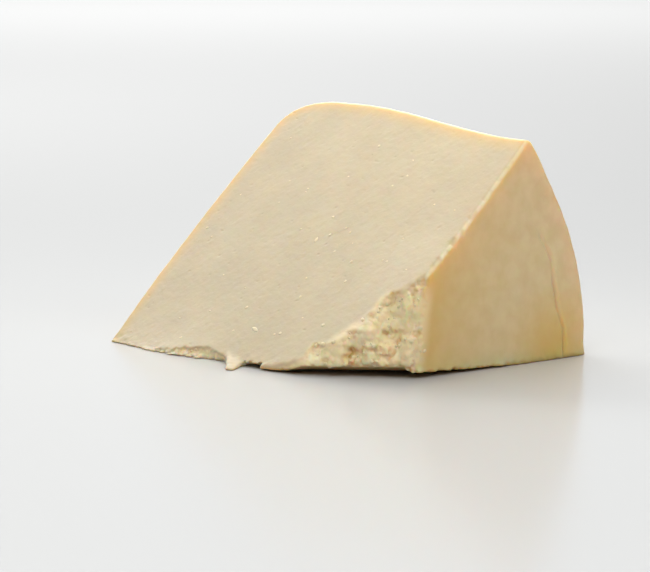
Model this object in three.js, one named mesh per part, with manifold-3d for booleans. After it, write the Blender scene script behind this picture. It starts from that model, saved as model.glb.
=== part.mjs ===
// A wedge of aged sheep's milk cheese: an eighth of a small wheel, lying on one of its two cut faces.
//
// The wheel's axis runs along X, so the wedge's thin edge lies on the ground in front, at y = 0. The wheel's two
// flat faces stand at its ends, the near one at x = 0 and the far one at x = -WHEEL_HEIGHT, and the rind of the
// wheel's bellied side closes it at the back. The second cut face slopes up from the thin edge to the rind.
// The near end of the thin edge has crumbled away along the curd, and the rest of it is chipped.
// Millimetres, +Z up. The group is moved at the end so that its box stands on the origin.

import * as THREE from "three";
import { SimplexNoise } from "three/addons/math/SimplexNoise.js";
import { mergeVertices } from "three/addons/utils/BufferGeometryUtils.js";
import Module from "manifold-3d";

const wasm = await Module();
wasm.setup();

// The wheel.
const WHEEL_HEIGHT = 111.5; // between its two flat faces
const BELLY_RADIUS = 100.2; // where the side is fullest
const NEAR_RIM_RADIUS = 92; // where the side meets the near face
const BELLY_FROM = 2; // from the near face, along the axis: where the side starts to swell
const BELLY_TO = 80; // and where it is fullest
const NEAR_CREASE_RADIUS = 80.5; // the fine crease that the mould's lid left in the near face
const NEAR_CREASE_DEPTH = 0.7;
const NEAR_CREASE_WIDTH = 2.2;
const CREASE_STEPS = 160;
const NEAR_CREASE_TIP = THREE.MathUtils.degToRad(0.9); // it grows shallower upwards, and runs out
const NEAR_RIM_DROP = 0.6; // how far the band outside the crease leans back at the rim
const NEAR_RIM_BEVEL = 1.4; // the bevel of that rim
const BEVEL_TO = THREE.MathUtils.degToRad(34); // above this angle band and bevel run out to a sharp corner
const NEAR_RIM_SAG = 1.3; // how far the near rim is flattened where it stands on the ground
const SAG_ANGLE = THREE.MathUtils.degToRad(22); // and up to what angle
const SAG_LENGTH = 40; // and how far along the axis
const FAR_SHOULDER_LENGTH = 23; // the soft far shoulder, along the axis
const FAR_SHOULDER_DEPTH = 14; // and towards the axis
const FAR_SHOULDER_POWER = 2.5; // over 2, so fuller than an ellipse
const FAR_RIM_RADIUS = 86.4; // where the shoulder meets the far face
const FAR_DOME = 2.2; // how far the far face swells
const FAR_DOME_MIDDLE = 35; // the radius at which it swells most

// The wedge.
const WEDGE_ANGLE = THREE.MathUtils.degToRad(44.3); // between the two cut faces: an eighth of the wheel
const REACH = 3 * BELLY_RADIUS; // longer than anything that is cut
const THIN_EDGE_RADIUS = 0.9; // it is blunt
const GRID_STEPS = [22, 18, 12]; // along the axis, outwards and upwards
const DRAWN_TO_ENDS = 0.55; // how strongly the steps along the axis are drawn to the two flat faces

// Gentle unevenness of every face but the one that it rests on.
const WAVES = [
  [46, 0.35],
  [15, 0.18],
]; // length and height
const UNLIKE = 71; // apart enough in the noise for directions that don't follow each other
const SWELL_AT = 27; // the sloping face stands proud above the crumbled corner
const SWELL_HEIGHT = 1.2;
const SWELL_RADIUS = 15;
const GROUND_FADE = 4; // height over which the unevenness starts
const PRESSED_AT = -79; // the middle of the stretch where the thin edge is pressed out onto the ground
const PRESSED_LENGTH = 20;
const PRESSED_OUT = 2.4;
const PRESSED_UP = 4;

// The corner that has crumbled away, at the near end of the thin edge.
const BREAK_UP_FACE = 23.6; // from the thin edge, along the ground on the near face
const BREAK_ALONG_EDGE = 29; // along the thin edge
const BREAK_LEAN = THREE.MathUtils.degToRad(6); // the broken surface leans back
const TOE_ALONG_EDGE = 45; // a shallower second break runs out along the thin edge
const TOE_DEPTH = 3.6; // its depth where it meets the first
const HOLLOW_DEPTH = 3.6; // how far the broken surface is scooped out in its middle
const HOLLOW_RADIUS = 13;
const HOLLOW_ALONG = 0.3; // its centre, as a share of the break's width from the near face
const HOLLOW_UP = 15; // and its height
const GRANULE = 2.3; // radius of a lump of curd
const GRANULE_SPACING = 2.9;
const GRANULE_SUNK = 1.2; // how deep the middles of the lumps lie below the broken surface
const LUMP_UNEVEN = 0.6; // share by which lumps differ in size and in shape
const PIT = 1.7; // radius of a pit where a lump has fallen out
const PIT_EVERY = 7;

// The chips along the rest of the thin edge.
const CHIPS_FROM = -54;
const CHIP = 1.7; // radius
const CHIP_UNEVEN = 1.1; // share by which chips differ in size
const CHIP_SPACING = 1.9;
const CHIP_WANDER = 1; // how far their middles stray in and out
const CHIP_UP = 1.6; // and up
const FLAKE_AT = new THREE.Vector3(-49.3, -0.4, 0.7); // a flake of paste pressed out onto the ground
const FLAKE_SIZE = new THREE.Vector3(1.9, 3.1, 2.3);
const NOTCH_AT = new THREE.Vector3(-44, 0, 0.4); // and the notch beside it
const NOTCH_SIZE = new THREE.Vector3(2.6, 1.9, 1.6);

// The near front corner hangs just clear of the ground.
const LIFT_FROM = new THREE.Vector3(-47, 0, 0); // the line along which it leaves the ground
const LIFT_TO = new THREE.Vector3(0, 74, 0);
const LIFT_HEIGHT = 1.9; // at the corner

const SEED = 20;

// Small helpers.

const DOWN = new THREE.Vector3(0, 0, -1);

// A seeded random source, from 0 to 1.
function randomSource(seed) {
  let state = seed;
  return () => {
    state = (state * 1664525 + 1013904223) % 4294967296;
    return state / 4294967296;
  };
}

function smoothstep(from, to, x) {
  return THREE.MathUtils.smoothstep(x, from, to);
}

// A closed three.js mesh as a solid that can be joined and cut.
function solidOf(geometry, matrix = new THREE.Matrix4()) {
  const bare = geometry.clone().applyMatrix4(matrix);
  bare.deleteAttribute("normal");
  bare.deleteAttribute("uv");
  const merged = mergeVertices(bare, 1e-4);
  const vertProperties = merged.attributes.position.array;
  const triVerts = new Uint32Array(merged.index.array);
  return new wasm.Manifold(new wasm.Mesh({ numProp: 3, vertProperties, triVerts }));
}

// And back again.
function geometryOf(solid) {
  const { vertProperties, triVerts } = solid.getMesh();
  const geometry = new THREE.BufferGeometry();
  geometry.setAttribute("position", new THREE.BufferAttribute(vertProperties, 3));
  geometry.setIndex(new THREE.BufferAttribute(triVerts, 1));
  return geometry;
}

// A block far larger than the cheese, whose lower face goes through a point and faces against a direction.
function blockBeyond(point, direction) {
  const block = new THREE.BoxGeometry(REACH, REACH, REACH).translate(0, 0, REACH / 2);
  const turn = new THREE.Quaternion().setFromUnitVectors(
    new THREE.Vector3(0, 0, 1),
    direction.clone().normalize(),
  );
  return solidOf(block, new THREE.Matrix4().compose(point, turn, new THREE.Vector3(1, 1, 1)));
}

// The wedge: a box of unit size with a grid on each side, bent into shape. Its X runs along the wheel's axis from
// the far face to the near one, its Y outwards from the thin edge to the rind, and its Z up from one cut face to
// the other.

// How much of the near rim's band and bevel is left at an angle above the ground.
function bevelShare(angle) {
  return 1 - smoothstep(BEVEL_TO, WEDGE_ANGLE, angle);
}

// The side's radius at a distance from the near face and an angle above the ground.
function sideRadius(fromNear, angle) {
  const swell = smoothstep(BELLY_FROM, BELLY_TO, fromNear);
  const body = NEAR_RIM_RADIUS + (BELLY_RADIUS - NEAR_RIM_RADIUS) * swell;
  const bevel = bevelShare(angle) * Math.max(0, NEAR_RIM_BEVEL - fromNear);
  const sagging = Math.max(0, 1 - angle / SAG_ANGLE) ** 2;
  const sag = NEAR_RIM_SAG * sagging * (1 - smoothstep(0, SAG_LENGTH, fromNear));
  const shoulderFrom = WHEEL_HEIGHT - FAR_DOME - FAR_SHOULDER_LENGTH;
  const into = THREE.MathUtils.clamp((fromNear - shoulderFrom) / FAR_SHOULDER_LENGTH, 0, 1);
  const level = Math.pow(1 - Math.pow(into, FAR_SHOULDER_POWER), 1 / FAR_SHOULDER_POWER);
  return body - bevel - sag - FAR_SHOULDER_DEPTH * (1 - level);
}

// How far the near face leans back at a radius and an angle.
function nearFaceDepth(radius, angle) {
  const band = (radius - NEAR_CREASE_RADIUS) / (NEAR_RIM_RADIUS - NEAR_CREASE_RADIUS);
  return NEAR_RIM_DROP * bevelShare(angle) * Math.max(0, band);
}

// How far the far face falls short of the wheel's full height at a radius.
function farFaceDepth(radius) {
  const away = (radius - FAR_DOME_MIDDLE) / (FAR_RIM_RADIUS - FAR_DOME_MIDDLE);
  return FAR_DOME * Math.min(1, away * away);
}

// A share of the way between two ends, with its steps drawn together near both.
function drawnToEnds(share) {
  return THREE.MathUtils.lerp(share, (1 - Math.cos(Math.PI * share)) / 2, DRAWN_TO_ENDS);
}

// A point of the unit box, bent into place.
function bend(point) {
  const angle = WEDGE_ANGLE * point.z;
  const fromNearFace = 1 - drawnToEnds(point.x);
  const rind = sideRadius(fromNearFace * (WHEEL_HEIGHT - FAR_DOME), angle);
  const radius = THREE.MathUtils.lerp(THIN_EDGE_RADIUS, rind, point.y);
  const near = nearFaceDepth(radius, angle);
  const far = WHEEL_HEIGHT - farFaceDepth(radius);
  return new THREE.Vector3(
    -THREE.MathUtils.lerp(near, far, fromNearFace),
    radius * Math.cos(angle),
    radius * Math.sin(angle),
  );
}

// How far the thin edge is pressed out onto the ground.
function pressedOut(x) {
  const away = (x - PRESSED_AT) / PRESSED_LENGTH;
  return PRESSED_OUT * Math.exp(-away * away);
}

// The unevenness that a knife, a cloth and months of drying leave: a move for any point of the surface.
function unevenness(random) {
  const noise = new SimplexNoise({ random });
  const slopeNormal = new THREE.Vector3(0, -Math.sin(WEDGE_ANGLE), Math.cos(WEDGE_ANGLE));
  const swellCentre = new THREE.Vector3(0, SWELL_AT, SWELL_AT * Math.tan(WEDGE_ANGLE));
  return (point) => {
    const move = new THREE.Vector3();
    for (const [length, height] of WAVES) {
      const at = point.clone().divideScalar(length);
      const parts = [0, 1, 2].map((i) => noise.noise3d(at.x + i * UNLIKE, at.y, at.z));
      move.addScaledVector(new THREE.Vector3(...parts), height);
    }
    const away = point.distanceTo(swellCentre) / SWELL_RADIUS;
    move.addScaledVector(slopeNormal, SWELL_HEIGHT * Math.exp(-away * away));
    move.y -= pressedOut(point.x) * Math.exp(-point.z / PRESSED_UP);
    move.z *= smoothstep(0, GROUND_FADE, point.z);
    return move;
  };
}

function wedge(random) {
  const grid = new THREE.BoxGeometry(1, 1, 1, ...GRID_STEPS).translate(0.5, 0.5, 0.5);
  const moveAt = unevenness(random);
  const position = grid.attributes.position;
  for (let i = 0; i < position.count; i++) {
    const point = bend(new THREE.Vector3().fromBufferAttribute(position, i));
    point.add(moveAt(point));
    position.setXYZ(i, point.x, point.y, point.z);
  }
  return solidOf(grid);
}

// The crease in the near face: a thin ring of V section, tipped so that it runs out of the face at its upper end.
function crease() {
  const section = [
    new THREE.Vector2(NEAR_CREASE_RADIUS + NEAR_CREASE_WIDTH / 2, -NEAR_CREASE_DEPTH),
    new THREE.Vector2(NEAR_CREASE_RADIUS, NEAR_CREASE_DEPTH),
    new THREE.Vector2(NEAR_CREASE_RADIUS - NEAR_CREASE_WIDTH / 2, -NEAR_CREASE_DEPTH),
  ];
  section.push(section[0]);
  const ring = new THREE.LatheGeometry(section, CREASE_STEPS).rotateZ(Math.PI / 2);
  return solidOf(ring.rotateY(-NEAR_CREASE_TIP));
}

// The crumbled corner.

// An irregular lump of curd: a ball of few faces, squashed and turned at random, then drawn to its size.
function lump(centre, size, random, detail = 0) {
  const ball = new THREE.IcosahedronGeometry(1, detail);
  const [squash, squeeze] = [random(), random()].map((share) => 1 + LUMP_UNEVEN * (share - 0.5));
  ball.scale(squash, squeeze, 1);
  ball.rotateX(2 * Math.PI * random()).rotateZ(2 * Math.PI * random());
  ball.scale(size.x, size.y, size.z).translate(centre.x, centre.y, centre.z);
  return solidOf(ball);
}

function evenSize(radius) {
  return new THREE.Vector3(radius, radius, radius);
}

// The frame of the broken surface: a point on the ground at the near face, the direction along the ground towards
// the thin edge, the direction up the surface, and the direction out of the cheese.
function breakFrame() {
  const start = new THREE.Vector3(0, BREAK_UP_FACE, 0);
  const along = new THREE.Vector3(-BREAK_ALONG_EDGE, -BREAK_UP_FACE, 0);
  const width = along.length();
  along.normalize();
  const out = new THREE.Vector3(-along.y, along.x, 0).applyAxisAngle(along, BREAK_LEAN);
  const up = new THREE.Vector3().crossVectors(along, out);
  return { start, along, up, out, width };
}

// A point of the broken surface, with the depth that the hollow adds there.
function breakPoint(frame, along, up) {
  const fromHollow = Math.hypot(along - HOLLOW_ALONG * frame.width, up - HOLLOW_UP) / HOLLOW_RADIUS;
  const depth = HOLLOW_DEPTH * Math.exp(-fromHollow * fromHollow);
  return frame.start
    .clone()
    .addScaledVector(frame.along, along)
    .addScaledVector(frame.up, up)
    .addScaledVector(frame.out, -depth);
}

// The second, shallower break, which runs out along the thin edge: a point on it, and its direction out.
function toeBreak(frame) {
  const from = frame.start.clone().addScaledVector(frame.along, frame.width);
  from.y += TOE_DEPTH;
  const along = new THREE.Vector3(-TOE_ALONG_EDGE, 0, 0).sub(from);
  return { from, out: new THREE.Vector3(-along.y, along.x, 0).normalize() };
}

// Every place on the broken surface that carries a lump of curd, on a jittered grid: those of the first break that
// the second has left, then those of the second.
function breakPlaces(frame, toe, random) {
  const places = [];
  const height = BREAK_UP_FACE * Math.tan(WEDGE_ANGLE) + 2 * GRANULE_SPACING;
  const jitter = () => GRANULE_SPACING * (random() - 0.5);
  const toeAlong = new THREE.Vector3(toe.out.y, -toe.out.x, 0);
  for (let along = -GRANULE_SPACING / 2; along < frame.width; along += GRANULE_SPACING) {
    for (let up = 0; up < height; up += GRANULE_SPACING) {
      const place = breakPoint(frame, along + jitter(), up + jitter());
      if (place.clone().sub(toe.from).dot(toe.out) < 0) places.push(place);
      const toePlace = toe.from.clone().addScaledVector(toeAlong, along - frame.width / 2 + jitter());
      toePlace.z = up + jitter();
      if (toePlace.clone().sub(frame.start).dot(frame.out) < 0) places.push(toePlace);
    }
  }
  return places;
}

// The crumbled corner in three parts: what is gone, the lumps that show, and the pits between them.
function crumbledCorner(random) {
  const frame = breakFrame();
  const toe = toeBreak(frame);
  const sunkStart = frame.start.clone().addScaledVector(frame.out, -GRANULE_SUNK);
  const sunkToe = toe.from.clone().addScaledVector(toe.out, -GRANULE_SUNK);
  const hollow = breakPoint(frame, HOLLOW_ALONG * frame.width, HOLLOW_UP);
  hollow.addScaledVector(frame.out, HOLLOW_RADIUS - GRANULE_SUNK);
  const gone = [
    blockBeyond(sunkStart, frame.out),
    blockBeyond(sunkToe, toe.out),
    lump(hollow, evenSize(HOLLOW_RADIUS), () => 0.5, 2),
  ];
  const lumps = [];
  const pits = [];
  breakPlaces(frame, toe, random).forEach((place, i) => {
    const share = 1 + LUMP_UNEVEN * (random() - 0.5);
    lumps.push(lump(place.clone().addScaledVector(frame.out, -GRANULE_SUNK), evenSize(GRANULE * share), random));
    if (i % PIT_EVERY === 0) pits.push(lump(place, evenSize(PIT * share), random));
  });
  return [gone, lumps, pits].map((solids) => wasm.Manifold.union(solids));
}

// The chipped thin edge.

function edgeChips(random) {
  const chips = [];
  for (let x = CHIPS_FROM; x > -WHEEL_HEIGHT - CHIP; x -= CHIP_SPACING) {
    const size = CHIP * (1 + CHIP_UNEVEN * (random() - 0.5));
    const centre = new THREE.Vector3(x, CHIP_WANDER * (random() - 0.5) - pressedOut(x), CHIP_UP * random());
    chips.push(lump(centre, evenSize(size), random));
  }
  return wasm.Manifold.union(chips);
}

function flake(random) {
  return lump(FLAKE_AT, FLAKE_SIZE, random).subtract(blockBeyond(new THREE.Vector3(), DOWN));
}

// The lifted corner: a block whose upper face rises from the line where the cheese leaves the ground.
function liftBlock() {
  const line = LIFT_TO.clone().sub(LIFT_FROM);
  const corner = new THREE.Vector3(0, BREAK_UP_FACE, 0).sub(LIFT_FROM);
  const towards = corner.clone().projectOnVector(line).negate().add(corner);
  const down = towards.clone().multiplyScalar(LIFT_HEIGHT / towards.length());
  down.z = -towards.length();
  return blockBeyond(LIFT_FROM, down);
}

function largestPiece(solid) {
  return solid.decompose().reduce((best, piece) => (piece.volume() > best.volume() ? piece : best));
}

function cheese() {
  const random = randomSource(SEED);
  const whole = wedge(random).subtract(crease());
  const [gone, lumps, pits] = crumbledCorner(random);
  const crumbled = whole.subtract(gone).add(lumps.intersect(whole)).subtract(pits);
  const notch = lump(NOTCH_AT, NOTCH_SIZE, random);
  const chipped = crumbled.subtract(edgeChips(random)).subtract(notch).add(flake(random));
  return largestPiece(chipped.subtract(liftBlock()));
}

const paste = new THREE.MeshStandardMaterial({ color: 0xdccaa0, roughness: 0.55, metalness: 0 });
const chunk = new THREE.Mesh(geometryOf(cheese()), paste);
chunk.name = "cheese_chunk";

const group = new THREE.Group();
group.add(chunk);
const box = new THREE.Box3().setFromObject(chunk);
const middle = box.getCenter(new THREE.Vector3());
chunk.position.set(-middle.x, -middle.y, -box.min.z);

export default group;
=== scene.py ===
"""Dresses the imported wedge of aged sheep's milk cheese.

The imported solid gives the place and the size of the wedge. Its surface is drawn again, finer, as the zero
level of a field of distances: a bellied wheel, cut by two planes through its axis, with one corner crumbled
away along the grains of its curd and the thin edge chipped. Lengths of the form are in millimetres, in the
wheel's own frame: the axis along X with the near flat face at 0, the thin edge at y = 0, and +Z up.
"""

import logging
import math
from collections.abc import Iterable, Sequence
from dataclasses import dataclass, field
from enum import Enum

import bmesh
import bpy
import numpy as np
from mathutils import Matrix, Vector


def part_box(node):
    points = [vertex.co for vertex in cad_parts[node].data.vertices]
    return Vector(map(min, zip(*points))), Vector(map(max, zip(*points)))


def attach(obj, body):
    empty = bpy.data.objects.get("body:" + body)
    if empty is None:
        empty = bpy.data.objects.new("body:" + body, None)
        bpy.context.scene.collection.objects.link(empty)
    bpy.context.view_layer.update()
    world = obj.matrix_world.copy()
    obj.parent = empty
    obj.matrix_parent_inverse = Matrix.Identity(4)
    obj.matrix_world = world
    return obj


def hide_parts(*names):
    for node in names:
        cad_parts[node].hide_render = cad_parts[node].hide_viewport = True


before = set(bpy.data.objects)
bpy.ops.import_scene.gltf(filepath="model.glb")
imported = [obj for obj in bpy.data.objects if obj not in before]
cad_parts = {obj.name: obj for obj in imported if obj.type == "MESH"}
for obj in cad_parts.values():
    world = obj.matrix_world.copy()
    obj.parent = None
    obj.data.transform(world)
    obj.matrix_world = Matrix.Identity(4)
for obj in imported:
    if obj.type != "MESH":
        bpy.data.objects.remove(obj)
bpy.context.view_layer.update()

log = logging.getLogger("cheese")

Array = np.ndarray
Colour = tuple[float, float, float, float]

NODE = "cheese_chunk"
BODY = "root"
MM = 0.001


# --- small helpers ------------------------------------------------------------


def smooth_max(a: Array, b: Array, width: Array | float) -> Array:
    """Join two fields as the space inside both, with the edge between them rounded.

    Args:
        a: The first field, in millimetres, negative inside.
        b: The second field.
        width: How far from the edge the rounding starts, in millimetres.

    Returns:
        The joined field.
    """
    overlap = np.maximum(width - np.abs(a - b), 0.0)
    return np.maximum(a, b) + overlap * overlap / (4.0 * width)


def ramp(low: float, high: float, value: Array | float) -> Array:
    """Rise smoothly from 0 at low to 1 at high.

    Args:
        low: The value at which the ramp starts.
        high: The value at which it ends.
        value: Where it is read.

    Returns:
        The ramp's height, from 0 to 1.
    """
    share = np.clip((value - low) / (high - low), 0.0, 1.0)
    return share * share * (3.0 - 2.0 * share)


def bump(value: Array, middle: float, width: float) -> Array:
    """Rise to 1 at a middle and fall away to both sides.

    Args:
        value: Where the bump is read.
        middle: Its middle.
        width: The distance at which it has fallen to about a third.

    Returns:
        The bump's height, from 0 to 1.
    """
    away = (value - middle) / width
    return np.exp(-away * away)


def linear(hex_colour: str) -> Colour:
    """Turn an sRGB hex colour into the linear colour that a shader takes.

    Args:
        hex_colour: The colour, such as "#E9DCBE".

    Returns:
        Linear red, green, blue and an alpha of 1.
    """
    channels = [int(hex_colour[i : i + 2], 16) / 255.0 for i in (1, 3, 5)]
    red, green, blue = (c / 12.92 if c <= 0.04045 else ((c + 0.055) / 1.055) ** 2.4 for c in channels)
    return (red, green, blue, 1.0)


class Wander:
    """Smooth random unevenness in space: values at the corners of a lattice, blended between them."""

    SIDE = 48

    def __init__(self, seed: int) -> None:
        """Draw the lattice.

        Args:
            seed: Makes this unevenness unlike another's.
        """
        self.values = np.random.default_rng(seed).uniform(-1.0, 1.0, self.SIDE**3).astype(np.float32)

    def at(self, x: Array, y: Array, z: Array, length: float) -> Array:
        """Read the unevenness at points.

        Args:
            x, y, z: The points, in millimetres.
            length: The distance between two corners of the lattice, in millimetres.

        Returns:
            Values from -1 to 1.
        """
        low, high, blend = [], [], []
        for axis in (x, y, z):
            place = axis / length
            floor = np.floor(place)
            share = (place - floor).astype(np.float32)
            blend.append(share * share * (3.0 - 2.0 * share))
            corner = floor.astype(np.int64) % self.SIDE
            low.append(corner)
            high.append((corner + 1) % self.SIDE)
        result = np.zeros(np.shape(x), np.float32)
        for i, along_x in ((low[0], 1.0 - blend[0]), (high[0], blend[0])):
            for j, along_y in ((low[1], 1.0 - blend[1]), (high[1], blend[1])):
                row = (i * self.SIDE + j) * self.SIDE
                lower = self.values[row + low[2]]
                upper = self.values[row + high[2]]
                result += along_x * along_y * (lower + (upper - lower) * blend[2])
        return result


# --- the form -----------------------------------------------------------------


@dataclass(frozen=True)
class Wheel:
    """The bellied wheel that the wedge was cut from."""

    height: float = 111.5
    belly_radius: float = 100.2
    near_rim_radius: float = 92.0
    belly_from: float = 2.0
    belly_to: float = 80.0
    near_rim_drop: float = 0.6
    bevel_to: float = math.radians(34.0)
    near_rim_sag: float = 1.3
    sag_angle: float = math.radians(22.0)
    sag_length: float = 40.0
    shoulder_length: float = 23.0
    shoulder_depth: float = 14.0
    shoulder_power: float = 2.5
    far_rim_radius: float = 86.4
    far_dome: float = 2.2
    far_dome_middle: float = 35.0
    crease_radius: float = 80.2
    crease_depth: float = 0.85
    crease_width: float = 0.65
    crease_reach: float = 2.0
    crease_top: float = math.radians(31.0)
    crease_waver: float = 1.1
    crease_waver_length: float = 7.5
    crease_break_length: float = 3.1

    def bevel_share(self, angle: Array) -> Array:
        """Say how much of the near rim's bevel is left at an angle above the ground."""
        return 1.0 - ramp(self.bevel_to, WEDGE_ANGLE, angle)

    def body_radius(self, from_near: Array, angle: Array) -> Array:
        """Give the side's radius without the far shoulder.

        Args:
            from_near: The distance from the near face.
            angle: The angle above the ground.

        Returns:
            The radius.
        """
        swell = ramp(self.belly_from, self.belly_to, from_near)
        sagging = np.maximum(0.0, 1.0 - np.abs(angle) / self.sag_angle) ** 2
        sag = self.near_rim_sag * sagging * (1.0 - ramp(0.0, self.sag_length, from_near))
        return self.near_rim_radius + (self.belly_radius - self.near_rim_radius) * swell - sag

    def side(self, from_near: Array, radius: Array, angle: Array) -> Array:
        """Give the field of the bellied side, the soft far shoulder and the domed far face.

        Args:
            from_near: The distance from the near face.
            radius: The distance from the axis.
            angle: The angle above the ground.

        Returns:
            The distance outside them, negative inside.
        """
        away = (radius - self.far_dome_middle) / (self.far_rim_radius - self.far_dome_middle)
        dome = self.far_dome * (1.0 - np.minimum(1.0, away * away))
        along = from_near - dome - (self.height - self.far_dome - self.shoulder_length)
        out = radius - (self.body_radius(from_near, angle) - self.shoulder_depth)
        flat = np.maximum(along - self.shoulder_length, out - self.shoulder_depth)
        power = self.shoulder_power
        u = np.maximum(along, 1e-3) / self.shoulder_length
        v = np.maximum(out, 1e-3) / self.shoulder_depth
        total = u**power + v**power
        level = total ** (1.0 / power)
        slope = level / total
        steep = np.hypot(
            slope * u ** (power - 1.0) / self.shoulder_length,
            slope * v ** (power - 1.0) / self.shoulder_depth,
        )
        return np.where((along > 0.0) & (out > 0.0), (level - 1.0) / steep, flat)

    def crease(self, radius: Array, angle: Array, wander: Wander) -> Array:
        """Say how strongly the crease in the near face shows at a place, from 0 to 1.

        Args:
            radius: The distance from the axis.
            angle: The angle above the ground.
            wander: What makes its line waver.

        Returns:
            The crease's strength.
        """
        along = angle * self.crease_radius
        still = along * 0.0
        waver = wander.at(along, still, still, self.crease_waver_length)
        middle = self.crease_radius + self.crease_waver * waver
        fade = 1.0 - ramp(0.7 * self.crease_top, self.crease_top, angle)
        breaks = 0.75 + 0.5 * wander.at(along, still + 31.0, still, self.crease_break_length)
        return bump(radius - middle, 0.0, self.crease_width) * fade * breaks

    def near_face(self, x: Array, radius: Array, angle: Array) -> Array:
        """Give the field of the near face, with the band outside the crease leaning back.

        Args:
            x: The place along the axis.
            radius: The distance from the axis.
            angle: The angle above the ground.

        Returns:
            The distance outside it, negative inside.
        """
        band = (radius - self.crease_radius) / (self.near_rim_radius - self.crease_radius)
        return x + self.near_rim_drop * self.bevel_share(angle) * np.maximum(0.0, band)


WHEEL = Wheel()
WEDGE_ANGLE = math.radians(44.3)
SLOPE_RISE = math.sin(WEDGE_ANGLE)
SLOPE_RUN = math.cos(WEDGE_ANGLE)


@dataclass(frozen=True)
class ThinEdge:
    """The wedge's thin edge: pressed out on the ground, with a strip broken away, a flake and a notch."""

    pressed_at: float = -79.0
    pressed_length: float = 20.0
    pressed_out: float = 2.4
    pressed_up: float = 4.0
    strip_at: float = -66.0
    strip_up: float = 3.0
    strip_left: float = 18.5
    strip_right: float = 11.0
    strip_foot: float = 0.6
    strip_hollow: float = 0.3
    lip_gap: float = 0.7
    lip_rise: float = 14.0
    lip_fall: float = 0.6
    lip_back: tuple[float, float] = (-0.5, 1.6)
    lip_from: float = -84.0
    lip_to: float = -51.0
    recess: float = 1.5
    recess_at: float = -59.5
    recess_length: float = 5.5
    flake_outline: tuple[tuple[float, float], ...] = (
        (-57.2, 3.0),
        (-46.4, -6.4),
        (-44.1, -5.1),
        (-48.4, 1.4),
    )
    flake_heights: tuple[float, float, float] = (2.97, 0.5, 1.37)
    notch_low: float = -49.0
    notch_high: float = -40.2
    notch_up: float = 1.55
    notch_back: tuple[float, float] = (1.2, 8.0)
    notch_sides: tuple[float, float] = (1.2, 0.5)

    def pressed(self, x: Array, z: Array) -> Array:
        """Say how far the paste is pressed out in front at a place."""
        return self.pressed_out * bump(x, self.pressed_at, self.pressed_length) * np.exp(-z / self.pressed_up)

    def gap(self, x: Array, y: Array) -> Array:
        """Say how far the thin edge's foot stands off the ground, under the strip and in the notch.

        Args:
            x, y: The places.

        Returns:
            The height of the gap.
        """
        stretch = ramp(self.lip_from, self.lip_from + self.lip_rise, x)
        stretch = stretch * (1.0 - ramp(self.lip_to - self.lip_fall, self.lip_to, x))
        strip = self.lip_gap * stretch * (1.0 - ramp(*self.lip_back, y + 0.6 * self.pressed(x, 0.0)))
        inside = ramp(self.notch_low, self.notch_low + self.notch_sides[0], x)
        inside = inside * (1.0 - ramp(self.notch_high - self.notch_sides[1], self.notch_high, x))
        share = np.clip((x - self.notch_low) / (self.notch_high - self.notch_low), 0.0, 1.0)
        notch = self.notch_up * (0.6 + 0.4 * share) * inside * (1.0 - ramp(*self.notch_back, y))
        return np.maximum(strip, notch)

    def strip(self, x: Array, y: Array, z: Array) -> Array:
        """Give the distance into the strip that has broken away, positive where the curd is gone.

        The strip's section is an arc from a lip on the slope down to the foot of the thin edge.

        Args:
            x, y, z: The places.

        Returns:
            The distance.
        """
        length = np.where(x > self.strip_at, self.strip_right, self.strip_left)
        lip_up = self.strip_up * np.exp(-(((x - self.strip_at) / length) ** 2))
        lip_back = lip_up * SLOPE_RUN / SLOPE_RISE - self.pressed(x, lip_up)
        foot_back = 0.2 - self.pressed(x, self.strip_foot)
        back, up = lip_back - foot_back, lip_up - self.strip_foot
        chord = np.maximum(np.hypot(back, up), 0.05)
        sag = self.strip_hollow * chord
        radius = (0.25 * chord * chord + sag * sag) / (2.0 * sag)
        middle_back = foot_back + 0.5 * back - (radius - sag) * up / chord
        middle_up = self.strip_foot + 0.5 * up + (radius - sag) * back / chord
        recess = self.recess * bump(x, self.recess_at, self.recess_length) * bump(z, 0.3, 1.2)
        return np.where(up > 0.3, radius - np.hypot(y - middle_back, z - middle_up) + recess, -1.0)

    def flake(self, x: Array, y: Array, z: Array) -> Array:
        """Give the field of the hanging flake, a flat tongue of the slope that droops onto the ground.

        Args:
            x, y, z: The places.

        Returns:
            The distance outside it, negative inside.
        """
        root, tip, tip_end, root_end = (np.array(corner) for corner in self.flake_outline)
        sides = np.full(np.shape(x), -1e3)
        for start, end in ((root, tip), (tip, tip_end), (tip_end, root_end)):
            run = (end - start) / np.hypot(*(end - start))
            sides = smooth_max(sides, (x - start[0]) * run[1] - (y - start[1]) * run[0], 0.8)
        rests = (root, 0.5 * (tip + tip_end), root_end)
        plane = np.linalg.solve([[1.0, *rest] for rest in rests], self.flake_heights)
        top = z - plane[0] - plane[1] * x - plane[2] * y
        return np.maximum(smooth_max(sides, top, 0.9), y - root[1])


@dataclass(frozen=True)
class Dent:
    """A hollow in the broken surface, or a lump where its depth is negative."""

    along: float
    up: float
    depth: float
    half_width: float
    half_height: float

    def depth_at(self, along: Array, up: Array) -> Array:
        """Give the dent's depth at places on the broken surface.

        Args:
            along: The places' distance along the break, from the near face.
            up: Their height.

        Returns:
            The depth.
        """
        sideways = (along - self.along) / self.half_width
        upwards = (up - self.up) / self.half_height
        return self.depth * bump(np.hypot(sideways, upwards), 0.0, 1.0)


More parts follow.
